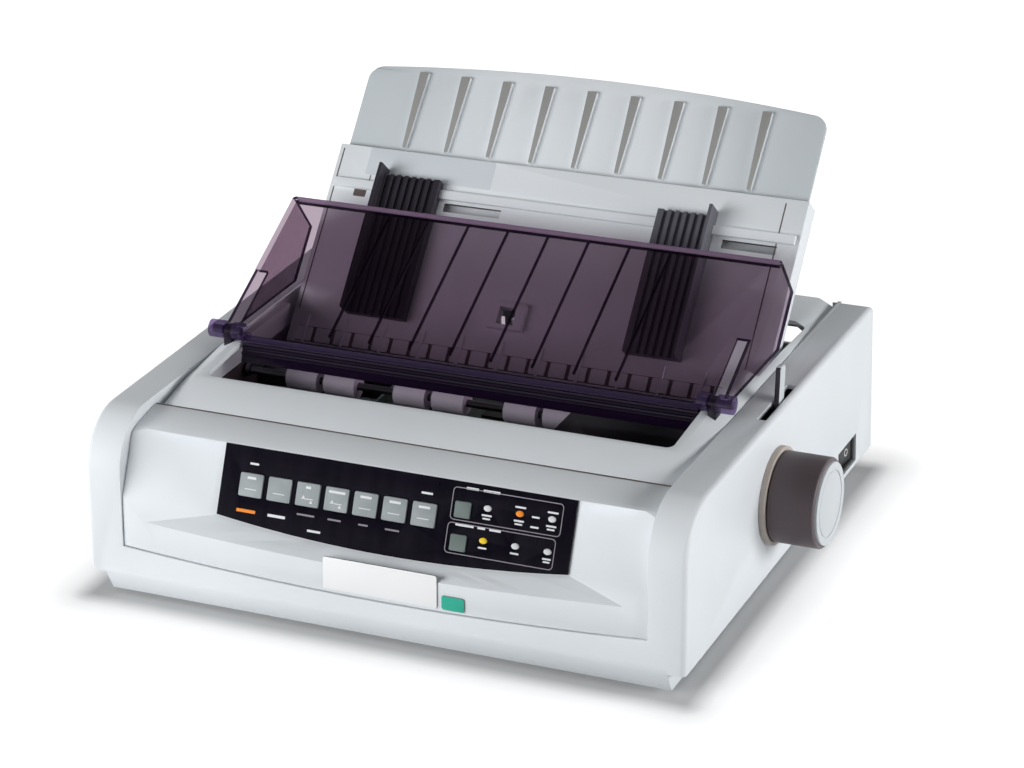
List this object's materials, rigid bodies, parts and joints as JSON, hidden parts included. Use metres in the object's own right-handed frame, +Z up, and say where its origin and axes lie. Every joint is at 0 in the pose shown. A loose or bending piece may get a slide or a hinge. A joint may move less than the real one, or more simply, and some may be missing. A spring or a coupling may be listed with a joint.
{
  "type": "dot matrix printer",
  "caption": "Desktop dot matrix printer with a smoked hinged access cover, a tilting paper separator, a platen knob and a keyed operator panel.",
  "frame": {"origin": "middle of the footprint of the whole printer, on the surface that it stands on", "axes": "+X to the printer's right along the platen, +Y to the rear, +Z up"},
  "size_m": [0.4338, 0.3608, 0.2476],
  "materials": {
    "housing": "fine texture",
    "housing_dark": "dark moulded",
    "smoked": "smoked clear plastic",
    "panel_black": "gloss film",
    "key_grey": "satin",
    "lamp": "clear lens",
    "plate_white": "bare plate",
    "plate_green": "bare plate",
    "rubber_dark": "rubber",
    "roller_grey": "soft roller",
    "steel": "plated",
    "brass": "turned",
    "gear_white": "moulded gear",
    "knob_taupe": "satin",
    "board_green": "circuit board",
    "head_metal": "cast",
    "guide_grey": "moulded"
  },
  "bodies": {
    "chassis": {"lower_case": "housing", "feet": "rubber_dark", "case_screws": "steel", "front_panel": "housing", "operator_panel": "panel_black", "panel_board": "board_green", "panel_lamps": "lamp", "name_plate": "plate_white", "green_plate": "plate_green", "top_cover": "housing", "left_frame": "steel", "right_frame": "steel", "shaft_bushes": "brass", "knob_collar": "housing", "feed_motor": "steel", "carriage_shaft": "steel", "guide_rail": "steel", "drive_belt": "rubber_dark", "carriage_motor": "steel", "paper_deflector": "steel", "tractor_rail": "steel", "switch_housing": "housing_dark", "power_inlet": "housing_dark", "interface_ports": "housing_dark", "main_board": "board_green", "power_supply": "steel"},
    "platen": {"platen_roller": "rubber_dark", "platen_shaft": "steel", "platen_gear": "gear_white", "platen_knob": "knob_taupe", "knob_cap": "housing"},
    "first_idler_gear": {"first_idler_gear": "gear_white"},
    "second_idler_gear": {"second_idler_gear": "gear_white"},
    "motor_pinion": {"motor_pinion": "brass"},
    "tractor_shaft": {"tractor_shaft": "steel"},
    "left_tractor": {"left_tractor": "housing_dark"},
    "right_tractor": {"right_tractor": "housing_dark"},
    "carriage": {"carriage": "housing_dark", "print_head": "head_metal", "ribbon_cartridge": "housing_dark"},
    "motor_pulley": {"motor_pulley": "gear_white"},
    "idler_pulley": {"idler_pulley": "gear_white"},
    "paper_bail": {"paper_bail": "steel"},
    "bail_rollers": {"bail_rollers": "roller_grey"},
    "access_cover": {"access_cover": "smoked"},
    "separator_tray": {"separator_tray": "housing"},
    "paper_support": {"paper_support": "housing"},
    "left_sheet_guide": {"left_sheet_guide": "guide_grey"},
    "right_sheet_guide": {"right_sheet_guide": "guide_grey"},
    "release_lever": {"release_lever": "guide_grey"},
    "power_rocker": {"power_rocker": "housing_dark"},
    "key_1": {"key_1": "key_grey"},
    "key_2": {"key_2": "key_grey"},
    "key_3": {"key_3": "key_grey"},
    "key_4": {"key_4": "key_grey"},
    "key_5": {"key_5": "key_grey"},
    "key_6": {"key_6": "key_grey"},
    "key_7": {"key_7": "key_grey"},
    "quality_key": {"quality_key": "key_grey"},
    "pitch_key": {"pitch_key": "key_grey"}
  },
  "joints": [
    {"name": "platen_spin", "type": "hinge", "parent": "chassis", "child": "platen", "pos_m": [-0.0179, -0.02537, 0.066], "axis": [1, 0, 0], "continuous": true},
    {"name": "first_idler_spin", "type": "hinge", "parent": "chassis", "child": "first_idler_gear", "pos_m": [-0.1959, 0.00854, 0.04225], "axis": [1, 0, 0], "continuous": true},
    {"name": "second_idler_spin", "type": "hinge", "parent": "chassis", "child": "second_idler_gear", "pos_m": [-0.1959, 0.04582, 0.04749], "axis": [1, 0, 0], "continuous": true},
    {"name": "motor_pinion_spin", "type": "hinge", "parent": "chassis", "child": "motor_pinion", "pos_m": [-0.1959, 0.01338, 0.06973], "axis": [1, 0, 0], "continuous": true},
    {"name": "tractor_shaft_spin", "type": "hinge", "parent": "chassis", "child": "tractor_shaft", "pos_m": [-0.0179, 0.08202, 0.05787], "axis": [1, 0, 0], "continuous": true},
    {"name": "left_tractor_slide", "type": "slide", "parent": "chassis", "child": "left_tractor", "axis": [1, 0, 0], "range_m": [-0.022, 0.05]},
    {"name": "right_tractor_slide", "type": "slide", "parent": "chassis", "child": "right_tractor", "axis": [1, 0, 0], "range_m": [-0.05, 0.022]},
    {"name": "carriage_travel", "type": "slide", "parent": "chassis", "child": "carriage", "axis": [1, 0, 0], "range_m": [-0.224, 0]},
    {"name": "motor_pulley_spin", "type": "hinge", "parent": "chassis", "child": "motor_pulley", "pos_m": [-0.1699, -0.09437, 0.027], "axis": [0, 0, 1], "range_deg": [-10, 1700]},
    {"name": "idler_pulley_spin", "type": "hinge", "parent": "chassis", "child": "idler_pulley", "pos_m": [0.1341, -0.09437, 0.027], "axis": [0, 0, 1], "range_deg": [-10, 1700]},
    {"name": "bail_lift", "type": "hinge", "parent": "chassis", "child": "paper_bail", "pos_m": [-0.0179, 0.01563, 0.0935], "axis": [1, 0, 0], "range_deg": [-15, 0]},
    {"name": "bail_roller_spin", "type": "hinge", "parent": "paper_bail", "child": "bail_rollers", "pos_m": [-0.0179, -0.01937, 0.09263], "axis": [1, 0, 0], "continuous": true},
    {"name": "cover_hinge", "type": "hinge", "parent": "chassis", "child": "access_cover", "pos_m": [-0.0179, -0.04337, 0.1303], "axis": [1, 0, 0], "range_deg": [0, 75]},
    {"name": "separator_tilt", "type": "hinge", "parent": "chassis", "child": "separator_tray", "pos_m": [-0.0179, 0.04471, 0.09296], "axis": [1, 0, 0], "range_deg": [-17, 0]},
    {"name": "paper_support_slide", "type": "slide", "parent": "separator_tray", "child": "paper_support", "axis": [0, 0.6652, 0.7466], "range_m": [-0.045, 0]},
    {"name": "left_guide_slide", "type": "slide", "parent": "separator_tray", "child": "left_sheet_guide", "axis": [1, 0, 0], "range_m": [-0.03, 0.055]},
    {"name": "right_guide_slide", "type": "slide", "parent": "separator_tray", "child": "right_sheet_guide", "axis": [1, 0, 0], "range_m": [-0.055, 0.045]},
    {"name": "release_lever_swing", "type": "hinge", "parent": "chassis", "child": "release_lever", "pos_m": [0.1741, -0.00337, 0.088], "axis": [1, 0, 0], "range_deg": [-20, 34]},
    {"name": "power_rocker_rock", "type": "hinge", "parent": "chassis", "child": "power_rocker", "pos_m": [0.1711, 0.11463, 0.03025], "axis": [0, 0, 1], "range_deg": [0, 10]},
    {"name": "key_1_press", "type": "slide", "parent": "chassis", "child": "key_1", "axis": [0, 0.9092, -0.4163], "range_m": [0, 0.0012], "stiffness_N_per_m": 250, "springref_m": -0.0008},
    {"name": "key_2_press", "type": "slide", "parent": "chassis", "child": "key_2", "axis": [0, 0.9092, -0.4163], "range_m": [0, 0.0012], "stiffness_N_per_m": 250, "springref_m": -0.0008},
    {"name": "key_3_press", "type": "slide", "parent": "chassis", "child": "key_3", "axis": [0, 0.9092, -0.4163], "range_m": [0, 0.0012], "stiffness_N_per_m": 250, "springref_m": -0.0008},
    {"name": "key_4_press", "type": "slide", "parent": "chassis", "child": "key_4", "axis": [0, 0.9092, -0.4163], "range_m": [0, 0.0012], "stiffness_N_per_m": 250, "springref_m": -0.0008},
    {"name": "key_5_press", "type": "slide", "parent": "chassis", "child": "key_5", "axis": [0, 0.9092, -0.4163], "range_m": [0, 0.0012], "stiffness_N_per_m": 250, "springref_m": -0.0008},
    {"name": "key_6_press", "type": "slide", "parent": "chassis", "child": "key_6", "axis": [0, 0.9092, -0.4163], "range_m": [0, 0.0012], "stiffness_N_per_m": 250, "springref_m": -0.0008},
    {"name": "key_7_press", "type": "slide", "parent": "chassis", "child": "key_7", "axis": [0, 0.9092, -0.4163], "range_m": [0, 0.0012], "stiffness_N_per_m": 250, "springref_m": -0.0008},
    {"name": "quality_key_press", "type": "slide", "parent": "chassis", "child": "quality_key", "axis": [0, 0.9092, -0.4163], "range_m": [0, 0.0012], "stiffness_N_per_m": 250, "springref_m": -0.0008},
    {"name": "pitch_key_press", "type": "slide", "parent": "chassis", "child": "pitch_key", "axis": [0, 0.9092, -0.4163], "range_m": [0, 0.0012], "stiffness_N_per_m": 250, "springref_m": -0.0008}
  ],
  "couplings": [
    {"joint": "first_idler_spin", "follows": "platen_spin", "ratio": -1.2},
    {"joint": "second_idler_spin", "follows": "platen_spin", "ratio": 1.2},
    {"joint": "tractor_shaft_spin", "follows": "platen_spin", "ratio": -1.2},
    {"joint": "motor_pinion_spin", "follows": "platen_spin", "ratio": 2.5},
    {"joint": "bail_roller_spin", "follows": "platen_spin", "ratio": -2.375},
    {"joint": "motor_pulley_spin", "follows": "carriage_travel", "rad_per_m": -128.2},
    {"joint": "idler_pulley_spin", "follows": "carriage_travel", "rad_per_m": -128.2}
  ]
}
